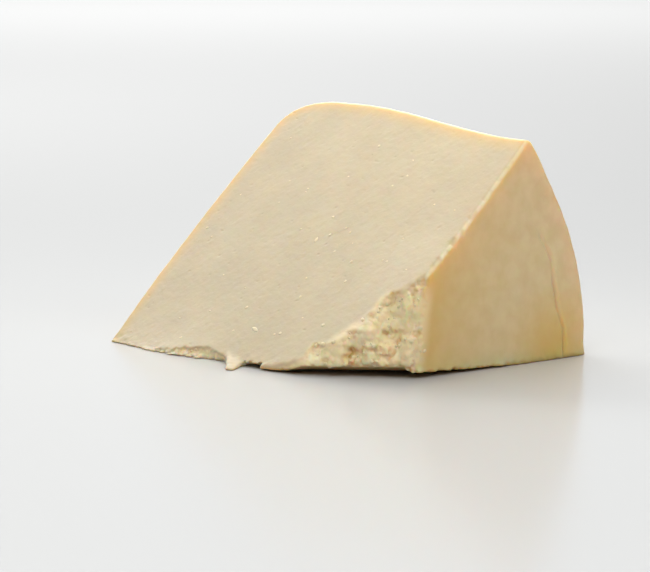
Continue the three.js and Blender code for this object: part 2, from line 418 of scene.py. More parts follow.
@dataclass(frozen=True)
class BrokenCorner:
    """The near end of the thin edge, crumbled away along the grains of the curd."""

    up_face: float = 23.6
    along_edge: float = 29.0
    lean: float = math.radians(6.0)
    toe_along_edge: float = 44.5
    toe_depth: float = 3.4
    toe_lean: float = 0.2
    toe_back: float = 0.4
    toe_undercut: float = 0.6
    toe_undercut_up: float = 1.2
    undercut: float = 1.5
    undercut_up: float = 1.6
    dents: tuple[Dent, ...] = (
        Dent(8.6, 20.8, 2.6, 3.6, 3.6),
        Dent(7.2, 21.3, 0.9, 1.2, 2.2),
        Dent(7.4, 14.6, 2.6, 4.2, 5.6),
        Dent(29.2, 7.0, 4.4, 1.9, 2.3),
        Dent(18.1, 8.6, 1.3, 1.3, 4.0),
        Dent(17.8, 5.4, 0.6, 2.2, 2.4),
        Dent(2.0, 15.6, 1.6, 0.8, 1.5),
        Dent(5.3, 10.2, 1.8, 0.8, 1.8),
        Dent(9.2, 12.2, 0.9, 0.9, 1.1),
        Dent(1.6, 8.5, -1.0, 2.2, 5.0),
        Dent(13.6, 12.0, -2.4, 2.6, 3.8),
        Dent(23.0, 6.0, -0.5, 2.5, 3.0),
    )
    foot_gap: float = 1.6
    foot_starts: tuple[float, float] = (0.5, 5.0)
    foot_ends: tuple[float, float] = (31.0, 38.0)
    foot_depth: tuple[float, float] = (-9.0, -0.5)
    teeth_depth: tuple[float, float] = (-1.5, -0.5)
    foot_teeth: tuple[tuple[float, float, float], ...] = (
        (0.5, 0.75, 0.7),
        (13.0, 0.35, 1.1),
        (20.1, 0.3, 0.6),
        (24.3, 0.55, 1.0),
    )
    zone_low: tuple[float, float, float] = (-34.0, -4.0, -2.0)
    zone_high: tuple[float, float, float] = (2.5, 36.0, 34.0)

    def place(self, x: Array, y: Array) -> tuple[Array, Array]:
        """Say where places on the ground lie from the break.

        Args:
            x, y: The places.

        Returns:
            Their distance along the break, from the near face, and their distance out of it.
        """
        width = math.hypot(self.along_edge, self.up_face)
        to_edge = -self.along_edge / width, -self.up_face / width
        along = x * to_edge[0] + (y - self.up_face) * to_edge[1]
        return along, -x * to_edge[1] + (y - self.up_face) * to_edge[0]

    def gone(self, x: Array, y: Array, z: Array) -> Array:
        """Give the distance in front of the broken surface, positive where the curd is gone.

        Args:
            x, y, z: The places.

        Returns:
            The distance, negative behind the surface.
        """
        along, out = self.place(x, y)
        gone = out * math.cos(self.lean) + z * math.sin(self.lean)
        gone = gone + self.undercut * np.exp(-np.maximum(z, 0.0) / self.undercut_up)
        for dent in self.dents:
            gone = gone + dent.depth_at(along, z)
        return gone

    def gap(self, x: Array, y: Array) -> Array:
        """Say how much further the foot of the break stands off the ground.

        Args:
            x, y: The places.

        Returns:
            The height of the gap.
        """
        along, out = self.place(x, y)
        stretch = ramp(*self.foot_starts, along) * (1.0 - ramp(*self.foot_ends, along))
        gap = self.foot_gap * stretch * ramp(*self.foot_depth, out)
        for middle, drop, width in self.foot_teeth:
            gap = gap - drop * bump(along, middle, width) * ramp(*self.teeth_depth, out)
        return gap

    def toe_gone(self, x: Array, y: Array, z: Array) -> Array:
        """Give the distance in front of the toe, where the thin edge is worn back beside the break.

        Args:
            x, y, z: The places.

        Returns:
            The distance, negative behind the surface.
        """
        run = self.toe_along_edge - self.along_edge
        length = math.hypot(run, self.toe_depth)
        gone = ((x + self.toe_along_edge) * self.toe_depth - y * run) / length
        gone = gone * math.cos(self.toe_lean) + z * math.sin(self.toe_lean) - self.toe_back
        return gone + self.toe_undercut * np.exp(-np.maximum(z, 0.0) / self.toe_undercut_up)


@dataclass(frozen=True)
class Lift:
    """The near front corner hangs just clear of the ground."""

    start: tuple[float, float] = (-47.0, 0.0)
    end: tuple[float, float] = (0.0, 66.0)
    corner_height: float = 1.75
    corner: tuple[float, float] = (0.0, 23.6)

    def height(self, x: Array, y: Array) -> Array:
        """Say how high the underside hangs over places on the ground.

        Args:
            x, y: The places.

        Returns:
            The height.
        """
        run = np.subtract(self.end, self.start)
        run = run / np.hypot(*run)
        corner = np.subtract(self.corner, self.start)
        reach = corner[0] * run[1] - corner[1] * run[0]
        away = (x - self.start[0]) * run[1] - (y - self.start[1]) * run[0]
        return self.corner_height * np.maximum(away, 0.0) / reach


class Granules:
    """Grains of curd: the cells round jittered points, each either kept whole or gone."""

    JITTER = 0.85

    def __init__(self, spacing: float, low: Sequence[float], high: Sequence[float], seed: int) -> None:
        """Scatter the middles of the grains over a box.

        Args:
            spacing: The mean distance between two middles.
            low: The box's lowest corner.
            high: Its highest corner.
            seed: Makes these grains unlike others.
        """
        self.spacing = spacing
        self.first = np.floor(np.asarray(low) / spacing).astype(int) - 2
        last = np.ceil(np.asarray(high) / spacing).astype(int) + 2
        self.shape = tuple(last - self.first + 1)
        draw = np.random.default_rng(seed)
        cells = np.stack(np.meshgrid(*[np.arange(n) for n in self.shape], indexing="ij"), -1)
        jitter = self.JITTER * (draw.random(cells.shape) - 0.5)
        self.middles = ((cells + self.first + 0.5 + jitter) * spacing).astype(np.float32)
        self.luck = draw.uniform(-1.0, 1.0, self.shape).astype(np.float32)
        self.kept = np.ones(self.shape, bool)

    def decide(self, gone: Array, spread: float) -> None:
        """Decide which grains are kept.

        Args:
            gone: How far in front of the break each middle lies, positive where the curd is gone.
            spread: How far a grain's luck moves the break for it.
        """
        self.kept = gone + spread * self.luck < 0.0

    def field(self, x: Array, y: Array, z: Array) -> tuple[Array, Array]:
        """Give the field of the kept grains, and how near each place is to a joint between two of them.

        Args:
            x, y, z: The places.

        Returns:
            The distance outside the kept grains, negative inside, and the distance to the nearest joint.
        """
        far = np.float32(1e3)
        counted = [np.floor(axis / self.spacing).astype(int) for axis in (x, y, z)]
        cell = [np.clip(c - first, 1, n - 2) for c, first, n in zip(counted, self.first, self.shape)]
        nearest = np.full(np.shape(x), far, np.float32)
        second = nearest.copy()
        missing = nearest.copy()
        for i in (-1, 0, 1):
            for j in (-1, 0, 1):
                for k in (-1, 0, 1):
                    at = (cell[0] + i, cell[1] + j, cell[2] + k)
                    off_x, off_y, off_z = (a - m for a, m in zip((x, y, z), self.middles[at].T))
                    apart = np.sqrt(off_x**2 + off_y**2 + off_z**2)
                    kept = self.kept[at]
                    here = np.where(kept, apart, far)
                    second = np.minimum(second, np.maximum(nearest, here))
                    nearest = np.minimum(nearest, here)
                    missing = np.minimum(missing, np.where(kept, far, apart))
        limit = np.float32(2.0 * self.spacing)
        field_here = 0.5 * (np.minimum(nearest, limit) - np.minimum(missing, limit))
        return field_here, 0.5 * (np.minimum(second, limit) - np.minimum(nearest, limit))


class Face(Enum):
    """The unbroken faces of the wedge."""

    SLOPE = "upper cut"
    GROUND = "lower cut"
    NEAR = "flat face"
    SIDE = "bellied side"


@dataclass(frozen=True)
class Tear:
    """How curd breaks away: partly along a surface with relief, partly grain by grain.

    Joints between grains are creased, and the break's edge is rounded.
    """

    surface: float
    relief: float
    grains: float
    joint: float
    joint_width: float
    edge: float


@dataclass
class WedgeField:
    """The field whose zero level is the wedge's surface."""

    edge: ThinEdge = field(default_factory=ThinEdge)
    corner: BrokenCorner = field(default_factory=BrokenCorner)
    lift: Lift = field(default_factory=Lift)
    swell_at: tuple[float, float, float] = (0.0, 27.0, 26.3)
    swell_height: float = 1.2
    swell_radius: float = 15.0
    knife_edge: float = 1.6
    rim_least: float = 0.5
    rim_edge: float = 2.6
    ground_edge: float = 0.5
    thin_ground_edge: float = 0.2
    thin_ground_back: tuple[float, float] = (1.5, 5.0)
    toe_edge: float = 0.6
    toe_grain: float = 0.25
    flake_edge: float = 0.8
    flake_grain: float = 0.12
    wave_length: float = 34.0
    wave_height: float = 0.16
    ripple_length: float = 4.6
    fine_length: float = 1.7
    finest_length: float = 0.9
    cut_heights: tuple[float, float, float] = (0.012, 0.035, 0.035)
    rind_heights: tuple[float, float] = (0.09, 0.04)
    ragged_heights: tuple[float, float] = (0.42, 0.2)
    ragged_up: float = 0.9
    pit_length: float = 1.6
    pit_share: float = 0.8
    pit_depth: float = 0.8
    nick_reach: tuple[float, float] = (0.3, 2.2)
    nick_starts: tuple[float, float] = (30.0, 44.0)
    nick_fades: tuple[float, float] = (55.0, 80.0)
    teeth_height: float = 0.6
    teeth_lift: tuple[float, float] = (0.15, 0.7)
    teeth_back: tuple[float, float] = (0.4, 2.4)
    torn_lengths: tuple[float, float, float] = (3.6, 1.7, 0.85)
    torn_heights: tuple[float, float, float] = (1.4, 1.4, 0.5)
    torn_mean: float = 0.87
    torn_stretch: float = 0.75
    warp_length: float = 2.2
    warp_reach: float = 0.4
    corner_tear: Tear = Tear(surface=0.6, relief=1.0, grains=0.4, joint=0.12, joint_width=0.5, edge=1.2)
    strip_tear: Tear = Tear(surface=0.7, relief=0.6, grains=0.3, joint=0.15, joint_width=0.3, edge=0.4)
    corner_depth: float = 5.0
    strip_depth: float = 3.0
    strip_zone: tuple[float, float, float] = (-39.0, 6.5, 6.5)
    lump: float = 3.1
    lump_luck: float = 1.1
    chip: float = 1.7
    chip_luck: float = 0.5
    seed: int = 20

    def __post_init__(self) -> None:
        """Draw everything random, and decide which grains of the broken corner are kept."""
        self.waves = Wander(self.seed)
        self.ripples = Wander(self.seed + 1)
        self.warp = [Wander(self.seed + 2 + i) for i in range(3)]
        low, high = self.corner.zone_low, self.corner.zone_high
        self.lumps = Granules(self.lump, low, high, self.seed + 5)
        middles = [self.lumps.middles[..., i] for i in range(3)]
        self.lumps.decide(self.corner.gone(*middles), self.lump_luck)
        edge_low = (-WHEEL.height - 2.0, -6.0, -2.0)
        self.chips = Granules(self.chip, edge_low, (-38.0, 7.0, 7.0), self.seed + 7)
        middles = [self.chips.middles[..., i] for i in range(3)]
        self.chips.decide(self.edge.strip(*middles), self.chip_luck)

    def faces(self, x: Array, y: Array, z: Array) -> dict[Face, Array]:
        """Give the field of each unbroken face.

        Args:
            x, y, z: The places.

        Returns:
            For each face, the distance outside it.
        """
        inner = y + self.edge.pressed(x, np.maximum(z, 0.0))
        radius = np.hypot(inner, z)
        angle = np.arctan2(z, inner)
        away = (x - self.swell_at[0]) ** 2 + (y - self.swell_at[1]) ** 2 + (z - self.swell_at[2]) ** 2
        swell = self.swell_height * np.exp(-away / self.swell_radius**2)
        near = WHEEL.near_face(x, radius, angle)
        groove = WHEEL.crease(radius, angle, self.ripples)
        near = near + WHEEL.crease_depth * groove * bump(x, 0.0, WHEEL.crease_reach)
        return {
            Face.SLOPE: z * SLOPE_RUN - inner * SLOPE_RISE - swell,
            Face.GROUND: self.lift.height(x, y) + self.edge.gap(x, y) + self.corner.gap(x, y) - z,
            Face.NEAR: near,
            Face.SIDE: WHEEL.side(-x, radius, angle),
        }

    def rim(self, y: Array, z: Array) -> Array:
        """Give how far the edge of the near face is rounded."""
        return self.rim_least + self.rim_edge * WHEEL.bevel_share(np.arctan2(z, np.maximum(y, 1.0)))

    def unbroken(self, x: Array, y: Array, z: Array) -> tuple[Array, dict[Face, Array]]:
        """Give the field of the wedge before it crumbled.

        Args:
            x, y, z: The places.

        Returns:
            The field, and that of each face.
        """
        faces = self.faces(x, y, z)
        wheel = smooth_max(faces[Face.SIDE], faces[Face.NEAR], self.rim(y, z))
        upper = smooth_max(wheel, faces[Face.SLOPE], self.knife_edge)
        return smooth_max(upper, faces[Face.GROUND], self.ground_edge), faces

    def solid(self, x: Array, y: Array, z: Array) -> Array:
        """Give the finished field.

        Args:
            x, y, z: The places, each as one row of numbers.

        Returns:
            The distance outside the surface, negative inside.
        """
        faces = self.faces(x, y, z)
        slope, near, side, ground = (faces[f] for f in (Face.SLOPE, Face.NEAR, Face.SIDE, Face.GROUND))
        wave = self.wave_height * self.waves.at(x, y, z, self.wave_length)
        ripple = self.ripples.at(x, y, z, self.ripple_length)
        fine = self.ripples.at(x, y, z, self.fine_length)
        finest = self.ripples.at(x, y, z, self.finest_length)
        pits = self.waves.at(0.8 * x - 0.6 * y, 0.5 * x + 0.7 * y + 0.5 * z, z, self.pit_length)
        pits = np.maximum(0.0, pits - self.pit_share)
        large, middle, small = self.cut_heights
        cut = large * ripple + middle * fine + small * finest + self.pit_depth * pits
        rind = self.rind_heights[0] * ripple + self.rind_heights[1] * fine
        above = np.maximum(z - self.lift.height(x, y), 0.0)
        foot = np.exp(-above / self.ragged_up)
        ragged = self.ragged_heights[0] * foot * fine + self.ragged_heights[1] * foot * finest
        edge_off = np.maximum(np.abs(slope), np.abs(near))
        up_edge = np.hypot(y, z)
        nicks = (1.0 - ramp(*self.nick_reach, edge_off)) * ramp(*self.nick_starts, up_edge)
        nicks = nicks * np.maximum(0.0, fine + 0.5 * ripple - 0.15)
        nicks = nicks * (0.55 - 0.35 * ramp(*self.nick_fades, up_edge))
        wheel = smooth_max(side, near, self.rim(y, z)) + rind
        upper = smooth_max(wheel, slope + cut, self.knife_edge) + wave + nicks + ragged
        upper = self.crumbled(x, y, z, upper)
        lifted = ramp(*self.teeth_lift, self.lift.height(x, y) + self.edge.gap(x, y))
        at_edge = 1.0 - ramp(*self.teeth_back, -upper)
        teeth = self.teeth_height * np.maximum(0.0, 0.2 + finest + 0.6 * fine) * lifted * at_edge
        thin = self.thin_ground_edge
        round_edge = thin + (self.ground_edge - thin) * ramp(*self.thin_ground_back, y)
        resting = smooth_max(upper, ground + teeth, round_edge)
        flake = smooth_max(self.edge.flake(x, y, z) + self.flake_grain * fine, -z, 0.3)
        return -smooth_max(-resting, -flake, self.flake_edge)

    def relief(self, x: Array, y: Array, z: Array) -> Array:
        """Give how far the torn curd stands out: rounded lumps with creases between them, in three sizes.

        Args:
            x, y, z: The places.

        Returns:
            The height of the lumps, in millimetres.
        """
        where = (x, y, self.torn_stretch * z)
        sizes = zip((self.waves, self.ripples, self.waves), self.torn_lengths, self.torn_heights)
        return sum(high * np.abs(source.at(*where, long)) for source, long, high in sizes) - self.torn_mean

    def tear_out(
        self, upper: Array, places: Sequence[Array], gone: Array, grains: Granules, tear: Tear
    ) -> Array:
        """Take broken curd out of the wedge.

        Args:
            upper: The field of the wedge over the ground.
            places: The places' X, Y and Z.
            gone: Their distance in front of the break.
            grains: The grains of curd there.
            tear: How the curd breaks away.

        Returns:
            That field with the broken curd gone.
        """
        warped = [a + self.warp_reach * w.at(*places, self.warp_length) for a, w in zip(places, self.warp)]
        lumps, joint = grains.field(*warped)
        torn = tear.surface * (gone - tear.relief * self.relief(*places)) + tear.grains * lumps
        torn = torn + tear.joint * (1.0 - ramp(0.0, tear.joint_width, joint))
        return smooth_max(upper, torn, tear.edge)

    def crumbled(self, x: Array, y: Array, z: Array, upper: Array) -> Array:
        """Take the crumbled corner, the worn toe and the broken strip out of the wedge.

        Args:
            x, y, z: The places.
            upper: The field of the wedge over the ground.

        Returns:
            That field with the broken curd gone.
        """
        result = upper.copy()
        gone = self.corner.gone(x, y, z)
        zone = gone > -self.corner_depth
        for axis, low, high in zip((x, y, z), self.corner.zone_low, self.corner.zone_high):
            zone &= (axis > low) & (axis < high)
        if zone.any():
            places = (x[zone], y[zone], z[zone])
            result[zone] = self.tear_out(result[zone], places, gone[zone], self.lumps, self.corner_tear)
        worn = self.corner.toe_gone(x, y, z) + self.toe_grain * self.ripples.at(x, y, z, self.fine_length)
        result = smooth_max(result, worn, self.toe_edge)
        gone = self.edge.strip(x, y, z)
        zone = gone > -self.strip_depth
        for axis, high in zip((x, y, z), self.strip_zone):
            zone &= axis < high
        if zone.any():
            places = (x[zone], y[zone], z[zone])
            result[zone] = self.tear_out(result[zone], places, gone[zone], self.chips, self.strip_tear)
        return result


# --- the surface --------------------------------------------------------------


@dataclass
class SurfaceGrid:
    """Draws a field's zero level as a fine mesh of four-sided faces."""

    shape_field: WedgeField
    pitch: float
    low: Array
    high: Array
    band: float = 2.4
    break_reach: float = 6.0
    edge_low: float = -8.3
    edge_high: tuple[float, float, float] = (-38.0, 5.0, 4.5)
    slab: int = 16

    def sample(self) -> Array:
        """Read the field over the whole grid, finely only near the surface.

        Returns:
            The field at each point of the grid.
        """
        ends = zip(self.low, self.high)
        axes = [np.arange(low, high + self.pitch, self.pitch, dtype=np.float32) for low, high in ends]
        values = np.empty([len(a) for a in axes], np.float32)
        corner = self.shape_field.corner
        for start in range(0, len(axes[0]), self.slab):
            stop = min(start + self.slab, len(axes[0]))
            grid = np.meshgrid(axes[0][start:stop], axes[1], axes[2], indexing="ij")
            x, y, z = (g.ravel() for g in grid)
            rough, _ = self.shape_field.unbroken(x, y, z)
            near = np.abs(rough) < self.band
            if axes[0][stop - 1] > corner.zone_low[0]:
                near |= (rough < self.band) & (corner.gone(x, y, z) > -self.break_reach)
            by_edge = y > self.edge_low
            for axis, high in zip((x, y, z), self.edge_high):
                by_edge &= axis < high
            near |= by_edge
            spots = np.nonzero(near)[0]
            rough = np.clip(rough, -self.band, self.band)
            rough[spots] = self.shape_field.solid(x[spots], y[spots], z[spots])
            values[start:stop] = rough.reshape(grid[0].shape)
        return values

    def mesh(self) -> tuple[Array, Array]:
        """Draw the surface.

        Returns:
            The points, and four point numbers for each face, counter-clockwise seen from outside.
        """
        values = self.sample()
        inside = values < 0.0
        parts = [slice(None, -1), slice(1, None)]
        corners = (inside[i, j, k] for i in parts for j in parts for k in parts)
        count = sum(corner.astype(np.uint8) for corner in corners)
        mixed = (count > 0) & (count < 8)
        cells = np.argwhere(mixed)
        number = np.full(mixed.shape, -1, np.int64)
        number[mixed] = np.arange(len(cells))
        total = np.zeros((len(cells), 3))
        crossings = np.zeros(len(cells))
        for axis in range(3):
            step = np.eye(3, dtype=int)[axis]
            others = [np.eye(3, dtype=int)[i] for i in range(3) if i != axis]
            for a in (0, 1):
                for b in (0, 1):
                    corner = a * others[0] + b * others[1]
                    first = values[tuple((cells + corner).T)]
                    last = values[tuple((cells + corner + step).T)]
                    cross = (first < 0.0) != (last < 0.0)
                    share = first[cross] / (first[cross] - last[cross])
                    total[cross] += corner + share[:, None] * step
                    crossings += cross
        points = self.low + self.pitch * (cells + total / crossings[:, None])
        return points, np.concatenate([self.quads(inside, number, axis) for axis in range(3)])

    @staticmethod
    def quads(inside: Array, number: Array, axis: int) -> Array:
        """Give the faces that cross the grid's lines along one axis.

        Args:
            inside: Whether each point of the grid is inside.
            number: The number of each cell's point.
            axis: The axis.

        Returns:
            Four point numbers for each face.
        """
        moved = np.moveaxis(inside, axis, 0)
        cells = np.moveaxis(number, axis, 0)
        starts, ends = moved[:-1, 1:-1, 1:-1], moved[1:, 1:-1, 1:-1]
        i, j, k = np.nonzero(starts != ends)
        ring = [cells[i, j, k], cells[i, j + 1, k], cells[i, j + 1, k + 1], cells[i, j, k + 1]]
        faces = np.stack(ring, 1)
        outwards = starts[i, j, k] if axis != 1 else ~starts[i, j, k]
        faces[~outwards] = faces[~outwards][:, ::-1]
        return faces


def largest_part(points: Array, faces: Array) -> tuple[Array, Array]:
    """Drop loose scraps and sealed hollows, keeping the one body that holds the most points.

    Args:
        points: The points.
        faces: The point numbers of each face.

    Returns:
        The points and faces that are kept.
    """
    label = np.arange(len(points))
    first = faces[:, :-1].ravel()
    last = faces[:, 1:].ravel()
    while True:
        before = label.copy()
        lowest = np.minimum(label[first], label[last])
        np.minimum.at(label, first, lowest)
        np.minimum.at(label, last, lowest)
        label = label[label]
        if np.array_equal(label, before):
            break
    kept = label == np.bincount(label).argmax()
    number = np.cumsum(kept) - 1
    return points[kept], number[faces[kept[faces[:, 0]]]]


def mesh_object(name: str, points: Array, faces: Array) -> bpy.types.Object:
    """Make an object from points in millimetres.

    Args:
        name: The object's name.
        points: Its points.
        faces: The point numbers of its faces, all with as many sides.

    Returns:
        The object, linked to the scene and smoothly shaded.
    """
    mesh = bpy.data.meshes.new(name)
    sides = faces.shape[1]
    mesh.vertices.add(len(points))
    mesh.vertices.foreach_set("co", (points * MM).astype(np.float32).ravel())
    mesh.loops.add(faces.size)
    mesh.loops.foreach_set("vertex_index", faces.astype(np.int32).ravel())
    mesh.polygons.add(len(faces))
    mesh.polygons.foreach_set("loop_start", np.arange(0, faces.size, sides, dtype=np.int32))
    mesh.update(calc_edges=True)
    mesh.validate()
    mesh.shade_smooth()
    thing = bpy.data.objects.new(name, mesh)
    bpy.context.scene.collection.objects.link(thing)
    return thing


def read_points(mesh: bpy.types.Mesh) -> tuple[Array, Array]:
    """Read a mesh's points.

    Args:
        mesh: The mesh.

    Returns:
        The points, in millimetres, and the directions they face.
    """
    places = np.empty(len(mesh.vertices) * 3, np.float32)
    normals = np.empty(len(mesh.vertices) * 3, np.float32)
    mesh.vertices.foreach_get("co", places)
    mesh.vertex_normals.foreach_get("vector", normals)
    return places.reshape(-1, 3) / MM, normals.reshape(-1, 3)


class Known(Enum):
    """What each point of the chunk knows about itself, under the name its finish reads it by."""

    RIND = "rind_mm"
    BELLY = "belly_mm"
    CUT = "cut_mm"
    # Painted glow of light shining through the paste near the break and below the slope, and painted shade
    # low on the near face's rim.
    PAINTED_GLOW_AND_SHADE = "painted_glow_and_shade"
    # Painted shade: darker golden colour in hollows and on the underside by the table.
    PAINTED_SHADE = "painted_shade"
    BROKEN = "broken"
    SHALLOW = "shallow"


@dataclass
class CheeseChunk:
    """The wedge: its mesh, and what each of its points knows for the finish."""

    form: WedgeField
    origin: Array
    pitch: float = 0.36
    quick_pitch: float = 0.7
    low: tuple[float, float, float] = (-114.0, -8.5, -1.5)
    high: tuple[float, float, float] = (2.5, 103.0, 73.0)
    most_triangles: int = 196_000
    settle: float = 0.12
    # Painted shade: how far ahead each point looks for walls.
    painted_shade_reach: tuple[float, ...] = (0.8, 1.8, 3.6)
    far: float = 20.0
    # Painted shade kept along the thin edge's far end, and where it grows to full.
    painted_shade_least: float = 0.3
    painted_shade_from: tuple[float, float] = (-48.0, -36.0)
    # Painted glow near the break and below the slope, and painted shade low on the near face's rim by the
    # ground:
    break_glow: float = 0.9
    break_glow_reach: float = 14.0
    cut_glow: float = 0.5
    cut_glow_reach: float = 4.0
    rim_shade: float = 0.9
    rim_shade_middle: tuple[float, float] = (77.0, 3.0)
    rim_shade_reach: float = 15.0
    rim_shade_depth: tuple[float, float] = (-14.0, -3.0)
    torn_in: tuple[float, float] = (0.25, 1.1)
    torn_from: tuple[float, float] = (-4.0, -1.5)
    fading_share: float = 0.75
    fading_from: tuple[float, float] = (-3.2, -0.4)
    fading_up: float = 26.0
    fading_over: tuple[float, float] = (-2.0, 6.0)
    flat_margin: float = 5.0
    thin: tuple[float, float] = (1.0, 16.0)

    def build(self, finish: bpy.types.Material) -> bpy.types.Object:
        """Draw the wedge and dress it.

        Args:
            finish: The cheese's material.

        Returns:
            The wedge, in the row's frame.
        """
        pitch = self.pitch
        grid = SurfaceGrid(self.form, pitch, np.array(self.low), np.array(self.high))
        points, faces = largest_part(*grid.mesh())
        chunk = mesh_object("sheep_cheese_wedge", points, faces)
        self.thin_out(chunk, 2 * len(faces))
        places, normals = read_points(chunk.data)
        off = self.form.solid(*places.astype(np.float32).T)
        places -= normals * np.clip(off, -self.settle, self.settle)[:, None]
        self.remember(chunk.data, places, normals)
        chunk.data.vertices.foreach_set("co", ((places + self.origin) * MM).astype(np.float32).ravel())
        chunk.data.update()
        chunk.data.materials.append(finish)
        return chunk

    def thin_out(self, chunk: bpy.types.Object, triangles: int) -> None:
        """Merge the faces where the surface is flat, down to the wedge's most_triangles.

        Args:
            chunk: The wedge.
            triangles: How many triangles it has now.
        """
        if triangles <= self.most_triangles:
            return
        fewer = chunk.modifiers.new("fewer", "DECIMATE")
        fewer.ratio = self.most_triangles / triangles
        view = bpy.context.evaluated_depsgraph_get()
        thinned = bpy.data.meshes.new_from_object(chunk.evaluated_get(view))
        chunk.modifiers.clear()
        old = chunk.data
        chunk.data = thinned
        bpy.data.meshes.remove(old)
        thinned.name = chunk.name
        thinned.shade_smooth()

    def remember(self, mesh: bpy.types.Mesh, places: Array, normals: Array) -> None:
        """Write what each point knows about itself.

        Args:
            mesh: The wedge's mesh.
            places: Its points, in the wheel's frame.
            normals: The directions they face.
        """
        x, y, z = places.astype(np.float32).T
        whole, faces = self.form.unbroken(x, y, z)
        # Painted shade: how closed in each point is, with the table counted as a wall, so hollows and the
        # underside by the ground take a darker golden colour.
        painted_shade = np.zeros(len(places))
        for reach in self.painted_shade_reach:
            ahead = (places + reach * normals).astype(np.float32)
            clear = np.minimum(self.form.solid(*ahead.T), ahead[:, 2])
            painted_shade += np.clip((reach - clear) / reach, 0.0, 1.0) / len(self.painted_shade_reach)
        painted_shade *= self.painted_shade_least + (1.0 - self.painted_shade_least) * ramp(*self.painted_shade_from, x)
        corner = self.form.corner.gone(x, y, z)
        gone = np.maximum(corner, self.form.edge.strip(x, y, z))
        cut = np.clip(-faces[Face.SLOPE], 0.0, self.far)
        # Painted glow of light shining through the paste near the break and below the slope, and painted
        # shade low on the near face's rim by the ground.
        rim = np.hypot(y - self.rim_shade_middle[0], z - self.rim_shade_middle[1]) / self.rim_shade_reach
        glow_by_break = self.break_glow * np.exp(corner / self.break_glow_reach)
        glow_by_cut = self.cut_glow * np.exp(-((cut / self.cut_glow_reach) ** 2))
        shade_by_rim = self.rim_shade * np.exp(-rim * rim) * ramp(*self.rim_shade_depth, x)
        torn = ramp(*self.torn_in, -whole) * ramp(*self.torn_from, gone)
        fading = self.fading_share * ramp(*self.fading_from, corner)
        fading = fading * ramp(*self.fading_over, self.fading_up - z)
        known = {
            Known.RIND: -np.maximum(faces[Face.NEAR], faces[Face.SIDE]),
            Known.BELLY: -np.maximum(faces[Face.NEAR] - self.flat_margin, faces[Face.SIDE]),
            Known.CUT: cut,
            Known.PAINTED_GLOW_AND_SHADE: np.clip(np.maximum(np.maximum(glow_by_break, glow_by_cut), shade_by_rim), 0.0, 1.0),
            Known.PAINTED_SHADE: painted_shade,
            Known.BROKEN: np.maximum(torn, fading),
            Known.SHALLOW: np.maximum(torn, 1.0 - ramp(*self.thin, y)),
        }
        for what, values in known.items():
            store = mesh.attributes.new(what.value, "FLOAT", "POINT")
            store.data.foreach_set("value", np.asarray(values, np.float32))


# --- crumbs -------------------------------------------------------------------


@dataclass(frozen=True)
class Fleck:
    """A light fleck of curd on the slope."""

    x: float
    up_slope: float
    size: float
    length: float = 1.0


